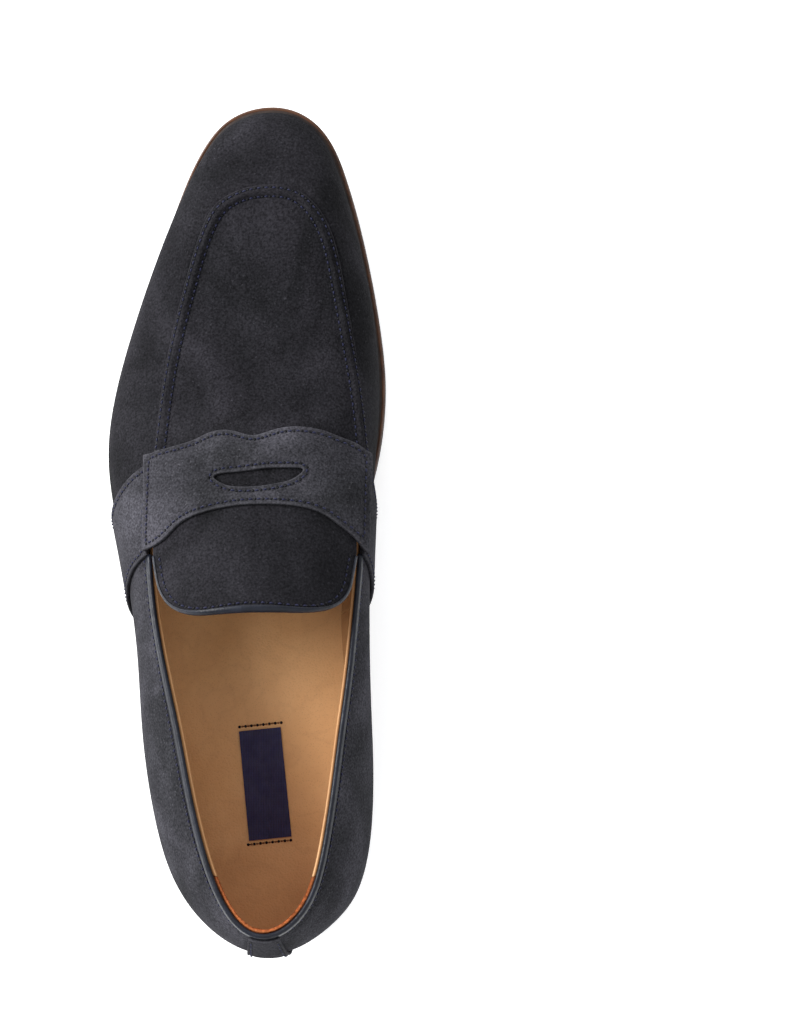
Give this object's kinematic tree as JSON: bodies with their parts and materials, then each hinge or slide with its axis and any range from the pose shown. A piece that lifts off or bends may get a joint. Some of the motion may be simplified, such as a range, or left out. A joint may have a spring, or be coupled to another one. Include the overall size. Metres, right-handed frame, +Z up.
{
  "type": "penny loafer",
  "caption": "Slip-on penny loafer for a left foot: suede upper with slotted saddle strap and sprung tongue, leather lining, leather sole with ribbed rubber forepart, stacked heel.",
  "frame": {"origin": "centre of the footprint box, on the floor", "axes": "+Y to the toe, +X to the big-toe (inner) side, +Z up"},
  "size_m": [0.1014, 0.3044, 0.0928],
  "materials": {
    "suede": "dark navy grey suede nap",
    "binding": "smooth navy leather",
    "lining_leather": "smooth tan leather",
    "grip_suede": "rust suede",
    "stiffener": "stiffened felt",
    "board": "leather fibre board",
    "label": "woven navy label",
    "cork": "granulated cork",
    "shank_steel": "spring steel",
    "nail_steel": "plain",
    "welt_leather": "cognac, satin",
    "sole_leather": "dark brown, semi-gloss edge",
    "sole_rubber": "ribbed, matte"
  },
  "bodies": {
    "shoe": {"vamp_wall": "suede", "apron": "suede", "saddle_strap": "suede", "strap_wing_lateral": "suede", "strap_wing_medial": "suede", "quarter_lateral": "suede", "quarter_medial": "suede", "backstay": "suede", "topline_binding": "binding", "vamp_lining": "lining_leather", "quarter_lining_lateral": "lining_leather", "quarter_lining_medial": "lining_leather", "sock_liner": "lining_leather", "heel_grip": "grip_suede", "toe_puff": "stiffener", "heel_counter": "stiffener", "insole_board": "board", "label_patch": "label", "cork_filler": "cork", "shank": "shank_steel", "welt": "welt_leather", "heel_rand": "sole_leather", "outsole": "sole_leather", "forepart_tread": "sole_rubber", "heel_lift_upper": "sole_leather", "heel_lift_lower": "sole_leather", "heel_top_piece": "sole_leather", "heel_rubber_tip": "sole_rubber", "heel_nail_1": "nail_steel", "heel_nail_2": "nail_steel", "heel_nail_3": "nail_steel", "heel_nail_4": "nail_steel", "heel_nail_5": "nail_steel"},
    "tongue_flap": {"tongue": "suede", "tongue_lining": "lining_leather", "tongue_binding": "binding"}
  },
  "joints": [
    {"name": "tongue_lift", "type": "hinge", "parent": "shoe", "child": "tongue_flap", "pos_m": [0.006, -0.007, 0.07], "axis": [-1, 0, 0], "range_deg": [0, 20], "stiffness_Nm_per_rad": 0.25}
  ]
}
